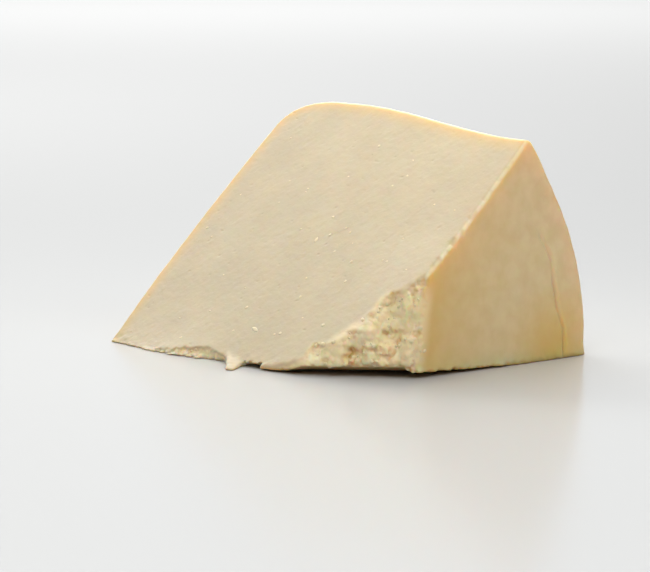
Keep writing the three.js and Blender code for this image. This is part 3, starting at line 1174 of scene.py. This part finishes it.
@dataclass
class Crumbs:
    """Flecks of curd that the knife left on the slope, and crumbs in the broken corner."""

    form: WedgeField
    origin: Array
    flecks: tuple[Fleck, ...] = (
        Fleck(-56.9, 83.9, 0.42),
        Fleck(-54.4, 56.0, 0.40),
        Fleck(-50.3, 49.5, 0.45),
        Fleck(-34.1, 41.2, 0.42),
        Fleck(-12.8, 13.3, 0.40),
        Fleck(-104.8, 46.0, 0.45),
        Fleck(-62.5, 20.1, 0.42),
        Fleck(-52.9, 13.4, 0.45, 2.6),
        Fleck(-41.8, 13.6, 0.42),
        Fleck(-79.8, 5.6, 0.40),
        Fleck(-44.2, 26.7, 0.35),
        Fleck(-54.5, 47.1, 0.40, 1.8),
        Fleck(-36.5, 73.9, 0.35),
        Fleck(-45.9, 52.7, 0.35),
        Fleck(-31.1, 34.4, 0.34),
        Fleck(-27.4, 18.7, 0.40),
    )
    small_flecks: int = 30
    corner_crumbs: int = 36
    flatness: float = 0.2
    fleck_scale: float = 1.3
    small_up_slope: tuple[float, float] = (8.0, 92.0)
    small_along: tuple[float, float] = (-104.0, -8.0)
    small_size: tuple[float, float] = (0.2, 0.3)
    crumb_size: tuple[float, float] = (0.22, 0.62)
    crumb_stretch: tuple[float, float] = (0.7, 1.2)
    crumb_in: float = 0.4
    crumb_up: float = 1.2
    knobs: int = 5
    knob_height: float = 0.22
    seed: int = 31

    def build(self, chunk: bpy.types.Object, finish: bpy.types.Material) -> bpy.types.Object:
        """Make all the crumbs as one piece.

        Args:
            chunk: The finished wedge, which carries them.
            finish: Their material.

        Returns:
            The crumbs, in the row's frame.
        """
        draw = np.random.default_rng(self.seed)
        ball, sides = self.ball()
        points = []
        slope = np.array([0.0, -SLOPE_RISE, SLOPE_RUN])
        flecks = list(self.flecks)
        for _ in range(self.small_flecks):
            up_slope = draw.uniform(*self.small_up_slope)
            flecks.append(Fleck(draw.uniform(*self.small_along), up_slope, draw.uniform(*self.small_size)))
        for fleck in flecks:
            place = np.array([fleck.x, fleck.up_slope * SLOPE_RUN, fleck.up_slope * SLOPE_RISE])
            size = self.fleck_scale * fleck.size * np.array([fleck.length, 1.0, self.flatness])
            points.append(self.settled(place, slope) + self.crumb(ball, size, slope, draw))
        for place, normal in self.corner_places(chunk, draw):
            size = draw.uniform(*self.crumb_size) * draw.uniform(*self.crumb_stretch, 3)
            points.append(place + self.crumb(ball, size, normal, draw))
        faces = [sides + i * len(ball) for i in range(len(points))]
        crumbs = mesh_object("cheese_crumbs", np.concatenate(points) + self.origin, np.concatenate(faces))
        crumbs.data.materials.append(finish)
        return crumbs

    @staticmethod
    def ball() -> tuple[Array, Array]:
        """Make a round ball.

        Returns:
            Its points, and three point numbers for each face.
        """
        shape = bmesh.new()
        bmesh.ops.create_icosphere(shape, subdivisions=2, radius=1.0)
        shape.verts.ensure_lookup_table()
        points = np.array([v.co for v in shape.verts])
        faces = np.array([[v.index for v in f.verts] for f in shape.faces])
        shape.free()
        return points, faces

    def crumb(self, ball: Array, size: Array, normal: Array, draw: np.random.Generator) -> Array:
        """Give the points of one crumb round its own middle.

        Args:
            ball: The points of a round ball.
            size: Its half lengths, the last one along the normal.
            normal: The direction away from the surface that it lies on.
            draw: The random draw.

        Returns:
            The crumb's points.
        """
        knobs = draw.normal(size=(self.knobs, 3))
        knobs /= np.linalg.norm(knobs, axis=1)[:, None]
        waves = np.sin(2.6 * ball @ knobs.T + draw.uniform(0.0, 6.0, self.knobs))
        swell = 1.0 + self.knob_height * np.sum(waves, axis=1) / 2.0
        turn = draw.uniform(0.0, math.tau)
        side = np.cross(normal, [1.0, 0.0, 0.0])
        side /= np.linalg.norm(side)
        along = np.cross(side, normal)
        first = math.cos(turn) * along + math.sin(turn) * side
        frame_here = np.stack([first, np.cross(normal, first), normal])
        return (ball * swell[:, None] * size) @ frame_here

    def settled(self, place: Array, normal: Array) -> Array:
        """Move a place onto the wedge's surface.

        Args:
            place: The place.
            normal: The direction along which it moves.

        Returns:
            The place on the surface.
        """
        for _ in range(4):
            off = float(self.form.solid(*(np.array([axis], np.float32) for axis in place))[0])
            place = place - off * normal
        return place

    def corner_places(
        self, chunk: bpy.types.Object, draw: np.random.Generator
    ) -> Iterable[tuple[Array, Array]]:
        """Pick places for crumbs on the broken corner.

        Args:
            chunk: The finished wedge.
            draw: The random draw.

        Yields:
            A place and the direction away from the surface there.
        """
        places, normals = read_points(chunk.data)
        broken = np.empty(len(places), np.float32)
        chunk.data.attributes[Known.BROKEN.value].data.foreach_get("value", broken)
        upright = (normals[:, 2] > -0.2) & (places[:, 2] > self.crumb_up)
        usable = np.nonzero((broken > self.crumb_in) & upright)[0]
        for spot in draw.choice(usable, self.corner_crumbs, replace=False):
            yield places[spot] - self.origin, normals[spot]


# --- finishes -----------------------------------------------------------------


def add_node(
    tree: bpy.types.NodeTree, kind: str, settings: dict, links: dict | None = None
) -> bpy.types.Node:
    """Add a node with its settings and links.

    Args:
        tree: The material's nodes.
        kind: The node's type.
        settings: Properties of the node by name, and values of its inputs by name or number.
        links: For each linked input, by name or number, the output that feeds it.

    Returns:
        The node.
    """
    node = tree.nodes.new(kind)
    for name, value in settings.items():
        if isinstance(name, str) and hasattr(node, name):
            setattr(node, name, value)
        else:
            node.inputs[name].default_value = value
    for name, source in (links or {}).items():
        tree.links.new(source, node.inputs[name])
    return node


def new_material(name: str) -> tuple[bpy.types.Material, bpy.types.NodeTree, bpy.types.Node]:
    """Make a material with one principled shader.

    Args:
        name: The material's name.

    Returns:
        The material, its nodes and its shader.
    """
    material = bpy.data.materials.new(name)
    material.use_nodes = True
    tree = material.node_tree
    tree.nodes.clear()
    shader = add_node(tree, "ShaderNodeBsdfPrincipled", {})
    add_node(tree, "ShaderNodeOutputMaterial", {}, {"Surface": shader.outputs["BSDF"]})
    return material, tree, shader


def per_metre(size_mm: float) -> float:
    """Turn the size of a pattern's cell, in millimetres, into a texture's scale."""
    return 1.0 / (size_mm * MM)


@dataclass(frozen=True)
class PressedCurd:
    """Aged sheep's milk paste cut by a knife, inside a smooth rind that was pressed in a mould and oiled.

    The eye gets a dense, slightly translucent ivory with a faint grain, yellower for some millimetres under
    the rind, a waxy straw-coloured rind, and a torn corner with paler grains. Painted light is laid into the
    colour as well: painted shade in hollows and under the foot, a painted yellow-brown glow of light shining
    through the paste near the break and below the slope, painted shade low on the near face's rim, and a
    painted highlight along the knife edge.
    """

    paste: str = "#CFBE9A"
    paste_grey: str = "#C9B895"
    under_rind: str = "#D6BC7E"
    rind: str = "#E4CC9E"
    rind_pale: str = "#EBD6AD"
    # Painted glow and painted shade on the rind: a yellow-brown colour for light shining through the paste
    # near the break and the slope, and for shade low on the near face's rim.
    rind_glow_and_shade: str = "#E3BE6C"
    torn: str = "#F8E4BA"
    # Painted highlight along the knife edge between slope and rind, over the edge's own paler pressed paste.
    pale_edge_and_highlight: str = "#EBE1C4"
    # Painted shade: the darker golden colour laid into hollows and under the foot.
    painted_shade: str = "#D9B06C"
    mottle_mm: float = 14.0
    cloud_mm: float = 5.0
    grain_mm: float = 0.75
    grain_strength: float = 0.6
    grain_height_mm: float = 0.07
    under_rind_mm: float = 7.0
    edge_highlight_mm: float = 1.3
    scatter_mm: float = 7.5
    scatter_thin_mm: float = 1.3
    scatter_share: tuple[float, float, float] = (1.0, 0.46, 0.19)
    ior: float = 1.46
    paste_roughness: float = 0.52
    rind_roughness: float = 0.40

    def material(self) -> bpy.types.Material:
        """Build the material.

        Returns:
            The material.
        """
        material, tree, shader = new_material("sheep_milk_paste_knife_cut_oiled_rind")
        place = add_node(tree, "ShaderNodeTexCoord", {}).outputs["Object"]
        known: dict[Known, bpy.types.NodeSocket] = {}
        for what in Known:
            known[what] = add_node(tree, "ShaderNodeAttribute", {"attribute_name": what.value}).outputs["Fac"]
        mottle, cloud, grain = (
            add_node(
                tree, "ShaderNodeTexNoise", {"Scale": per_metre(size), "Detail": detail}, {"Vector": place}
            ).outputs["Fac"]
            for size, detail in ((self.mottle_mm, 2.0), (self.cloud_mm, 3.0), (self.grain_mm, 2.0))
        )
        waver = {"operation": "MULTIPLY_ADD", 1: 1.6, 2: -0.8}
        wavered = add_node(tree, "ShaderNodeMath", waver, {0: cloud}).outputs["Value"]
        links = {0: known[Known.BELLY], 1: wavered}
        from_rind = add_node(tree, "ShaderNodeMath", {"operation": "ADD"}, links).outputs["Value"]
        # painted_glow_and_shade carries the painted glow and painted shade on the rind.
        share = {"painted_glow_and_shade": known[Known.PAINTED_GLOW_AND_SHADE], "broken": known[Known.BROKEN]}
        # Each row: the share's name, its curve, the values at which it is none and all, and what it reads.
        for name, curve, none, full, value in (
            ("patch", "LINEAR", 0.32, 0.68, mottle),
            ("blotch", "LINEAR", 0.36, 0.64, cloud),
            ("under_rind", "SMOOTHSTEP", self.under_rind_mm, 0.2, from_rind),
            ("on_rind", "LINEAR", 0.7, 0.25, known[Known.RIND]),
            # at_cut and at_rind find the knife edge for its painted highlight.
            ("at_cut", "SMOOTHSTEP", self.edge_highlight_mm, 0.3, known[Known.CUT]),
            ("at_rind", "SMOOTHSTEP", self.edge_highlight_mm, 0.3, known[Known.RIND]),
            # The share of painted shade.
            ("painted_shade_share", "LINEAR", 0.2, 0.8, known[Known.PAINTED_SHADE]),
        ):
            settings = {"interpolation_type": curve, "From Min": none, "From Max": full}
            share[name] = add_node(tree, "ShaderNodeMapRange", settings, {"Value": value}).outputs["Result"]
        links = {0: share["at_cut"], 1: share["at_rind"]}
        share["edge_highlight_share"] = add_node(tree, "ShaderNodeMath", {"operation": "MULTIPLY"}, links).outputs["Value"]
        colour = {name: linear(value) for name, value in vars(self).items() if isinstance(value, str)}
        # Each row: the mixed colour's name, what lies under, the share of what lies over it, and that.
        for name, under, how_much, over in (
            ("cut", "paste", "patch", "paste_grey"),
            ("cut", "cut", "under_rind", "under_rind"),
            ("skin", "rind", "blotch", "rind_pale"),
            # Painted glow and painted shade on the rind.
            ("skin", "skin", "painted_glow_and_shade", "rind_glow_and_shade"),
            ("all", "cut", "on_rind", "skin"),
            # Painted highlight along the knife edge, over its paler pressed paste.
            ("all", "all", "edge_highlight_share", "pale_edge_and_highlight"),
            ("all", "all", "broken", "torn"),
            # Painted shade over everything in hollows and under the foot.
            ("all", "all", "painted_shade_share", "painted_shade"),
        ):
            settings, links = {"data_type": "RGBA"}, {0: share[how_much]}
            for number, part in ((6, colour[under]), (7, colour[over])):
                (settings if isinstance(part, tuple) else links)[number] = part
            colour[name] = add_node(tree, "ShaderNodeMix", settings, links).outputs[2]
        settings = {"data_type": "FLOAT", 2: self.paste_roughness, 3: self.rind_roughness}
        roughness = add_node(tree, "ShaderNodeMix", settings, {0: share["on_rind"]})
        settings = {"Strength": self.grain_strength, "Distance": self.grain_height_mm * MM}
        relief = add_node(tree, "ShaderNodeBump", settings, {"Height": grain})
        settings = {"To Min": self.scatter_mm * MM, "To Max": self.scatter_thin_mm * MM}
        depth = add_node(tree, "ShaderNodeMapRange", settings, {"Value": known[Known.SHALLOW]})
        tree.links.new(colour["all"], shader.inputs["Base Color"])
        tree.links.new(roughness.outputs[0], shader.inputs["Roughness"])
        tree.links.new(relief.outputs["Normal"], shader.inputs["Normal"])
        tree.links.new(depth.outputs["Result"], shader.inputs["Subsurface Scale"])
        shader.inputs["IOR"].default_value = self.ior
        shader.inputs["Subsurface Weight"].default_value = 1.0
        shader.inputs["Subsurface Radius"].default_value = self.scatter_share
        return material


@dataclass(frozen=True)
class CrumbledCurd:
    """Dry crumbs of the same paste, rolled off by the knife: paler and duller than the cut."""

    colour: str = "#EFE1BF"
    colour_dull: str = "#E4D0A0"
    cloud_mm: float = 1.2
    roughness: float = 0.6

    def material(self) -> bpy.types.Material:
        """Build the material.

        Returns:
            The material.
        """
        material, tree, shader = new_material("sheep_milk_paste_crumbled")
        place = add_node(tree, "ShaderNodeTexCoord", {}).outputs["Object"]
        settings = {"Scale": per_metre(self.cloud_mm), "Detail": 2.0}
        cloud = add_node(tree, "ShaderNodeTexNoise", settings, {"Vector": place})
        settings = {"data_type": "RGBA", 6: linear(self.colour), 7: linear(self.colour_dull)}
        tone = add_node(tree, "ShaderNodeMix", settings, {0: cloud.outputs["Fac"]})
        tree.links.new(tone.outputs[2], shader.inputs["Base Color"])
        shader.inputs["Roughness"].default_value = self.roughness
        return material


@dataclass(frozen=True)
class LacqueredBoard:
    """A board lacquered white and polished: a pale table with faint, soft reflections."""

    colour: str = "#CACBCA"
    roughness: float = 0.2
    ior: float = 1.45
    specular: float = 0.2

    def material(self) -> bpy.types.Material:
        """Build the material.

        Returns:
            The material.
        """
        material, _, shader = new_material("board_lacquered_white")
        shader.inputs["Base Color"].default_value = linear(self.colour)
        shader.inputs["Roughness"].default_value = self.roughness
        shader.inputs["IOR"].default_value = self.ior
        shader.inputs["Specular IOR Level"].default_value = self.specular
        return material


# --- the studio ---------------------------------------------------------------


@dataclass(frozen=True)
class Softbox:
    """A large soft lamp, placed by its direction from the cheese."""

    name: str
    azimuth: float
    elevation: float
    distance: float
    width: float
    height: float
    power: float
    colour: str = "#FFFFFF"
    aim: tuple[float, float, float] = (0.0, 0.0, 0.0)

    def build(self, target: Vector) -> bpy.types.Object:
        """Hang the lamp.

        Args:
            target: The cheese's middle, in metres, from which the lamp's place and aim are measured.

        Returns:
            The lamp.
        """
        data = bpy.data.lights.new(self.name, "AREA")
        data.shape = "RECTANGLE"
        data.size = self.width
        data.size_y = self.height
        data.energy = self.power
        data.color = linear(self.colour)[:3]
        lamp = bpy.data.objects.new(self.name, data)
        lamp.location = target + self.distance * direction(self.azimuth, self.elevation)
        lamp.rotation_euler = (target + Vector(self.aim) - lamp.location).to_track_quat("-Z", "Y").to_euler()
        bpy.context.scene.collection.objects.link(lamp)
        return lamp


@dataclass(frozen=True)
class Glow:
    """A broad soft glow of the room round a direction."""

    azimuth: float
    elevation: float
    rim: float
    core: float
    strength: float

    def add(self, tree: bpy.types.NodeTree, ray: bpy.types.NodeSocket) -> bpy.types.NodeSocket:
        """Add the glow's strength along a ray.

        Args:
            tree: The world's nodes.
            ray: The ray's direction.

        Returns:
            The output with the strength.
        """
        middle = direction(self.azimuth, self.elevation)
        toward = add_node(tree, "ShaderNodeVectorMath", {"operation": "DOT_PRODUCT", 1: middle}, {0: ray})
        settings = {"interpolation_type": "SMOOTHSTEP", "From Min": self.rim, "From Max": self.core}
        settings["To Max"] = self.strength
        links = {"Value": toward.outputs["Value"]}
        return add_node(tree, "ShaderNodeMapRange", settings, links).outputs["Result"]


def direction(azimuth: float, elevation: float) -> Vector:
    """Give the direction towards a viewer or lamp.

    Args:
        azimuth: Degrees round the cheese: 0 is in front of its thin edge, 90 in front of its near face.
        elevation: Degrees above the table.

    Returns:
        A direction of length 1.
    """
    around, above = math.radians(azimuth), math.radians(elevation)
    flat = math.cos(above)
    return Vector((flat * math.sin(around), -flat * math.cos(around), math.sin(above)))


@dataclass
class Studio:
    """A pale table under soft light, and the camera at the photograph's viewing angle."""

    origin: Array
    azimuth: float = 49.6
    elevation: float = 7.64
    distance: float = 704.0
    target: tuple[float, float, float] = (7.1, -15.3, 30.0)
    lens: float = 149.5
    sensor: float = 36.0
    view_reach: float = 50.0
    floor_radius: float = 6.0
    floor_sides: int = 96
    floor_drop: float = 0.00005
    glow_colour: str = "#FFFFFF"
    glows: tuple[Glow, ...] = (
        Glow(229.6, 8.0, 0.1, 0.95, 0.5),
        Glow(229.6, 45.0, 0.3, 0.95, 0.4),
        Glow(229.6, -20.0, 0.878, 0.912, 0.18),
        Glow(255.0, 6.0, 0.83, 0.956, 0.14),
    )
    lamps: tuple[Softbox, ...] = (
        Softbox("front_softbox", 40.0, 52.0, 0.9, 0.5, 0.5, 4.1),
        Softbox("low_softbox", 28.0, 5.0, 0.9, 0.6, 0.1, 0.5),
        Softbox("right_softbox", 112.0, 38.0, 0.8, 0.5, 0.5, 1.7),
        Softbox("left_softbox", -62.0, 38.0, 0.4, 0.2, 0.2, 0.18),
        Softbox("top_softbox", 206.3, 60.9, 0.172, 0.08, 0.08, 0.06, aim=(-0.05, 0.05, 0.0)),
        Softbox("far_softbox", 229.6, 36.0, 4.2, 3.6, 1.8, 100.0, aim=(-1.9, 1.6, 0.0)),
        Softbox("far_left_softbox", 268.0, 29.0, 1.46, 0.5, 0.5, 4.5, aim=(-0.9, 0.0, 0.0)),
    )

    def build(self) -> None:
        """Set up the table, the lamps and the camera."""
        target = Vector((np.array(self.target) + self.origin) * MM)
        self.floor()
        for lamp in self.lamps:
            lamp.build(target)
        self.world()
        self.camera(target)
        bpy.context.scene.view_settings.view_transform = "Standard"

    def floor(self) -> None:
        """Lay the table."""
        shape = bmesh.new()
        bmesh.ops.create_circle(shape, cap_ends=True, radius=self.floor_radius, segments=self.floor_sides)
        mesh = bpy.data.meshes.new("table")
        shape.to_mesh(mesh)
        shape.free()
        table = bpy.data.objects.new("table", mesh)
        table.location.z = -self.floor_drop
        bpy.context.scene.collection.objects.link(table)
        mesh.materials.append(LacqueredBoard().material())

    def world(self) -> None:
        """Light the room softly from behind, and leave it dark behind the camera."""
        world = bpy.data.worlds.new("studio")
        world.use_nodes = True
        tree = world.node_tree
        back = tree.nodes["Background"]
        ray = add_node(tree, "ShaderNodeTexCoord", {}).outputs["Generated"]
        strength = self.glows[0].add(tree, ray)
        for glow in self.glows[1:]:
            links = {0: strength, 1: glow.add(tree, ray)}
            strength = add_node(tree, "ShaderNodeMath", {"operation": "ADD"}, links).outputs["Value"]
        back.inputs["Color"].default_value = linear(self.glow_colour)
        tree.links.new(strength, back.inputs["Strength"])
        bpy.context.scene.world = world

    def camera(self, target: Vector) -> None:
        """Stand the camera.

        Args:
            target: The point it looks at, in metres.
        """
        data = bpy.data.cameras.new("camera")
        data.lens = self.lens
        data.sensor_width = self.sensor
        data.clip_end = self.view_reach
        camera = bpy.data.objects.new("camera", data)
        camera.location = target + self.distance * MM * direction(self.azimuth, self.elevation)
        camera.rotation_euler = (target - camera.location).to_track_quat("-Z", "Y").to_euler()
        bpy.context.scene.collection.objects.link(camera)
        bpy.context.scene.camera = camera


# --- all together -------------------------------------------------------------


NEAR_FACE_PROUD = 0.455
THIN_EDGE_REACH = 3.447


def wheel_origin() -> Array:
    """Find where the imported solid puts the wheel's frame, in millimetres."""
    lowest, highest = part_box(NODE)
    return np.array([highest.x / MM - NEAR_FACE_PROUD, lowest.y / MM + THIN_EDGE_REACH, 0.0])


def report(piece: bpy.types.Object) -> None:
    """Log a finished piece's name and how fine its mesh is."""
    triangles = sum(len(polygon.vertices) - 2 for polygon in piece.data.polygons)
    log.info("%s: %d points, %d triangles", piece.name, len(piece.data.vertices), triangles)


def main() -> None:
    """Build the wedge, its crumbs and the studio, and report each piece."""
    logging.basicConfig(level=logging.INFO, format="%(name)s: %(message)s")
    origin = wheel_origin()
    Studio(origin).build()
    form = WedgeField()
    chunk = CheeseChunk(form, origin).build(PressedCurd().material())
    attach(chunk, BODY)
    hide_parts(NODE)
    report(chunk)
    crumbs = Crumbs(form, origin).build(chunk, CrumbledCurd().material())
    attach(crumbs, BODY)
    report(crumbs)


if __name__ == "__main__":
    main()
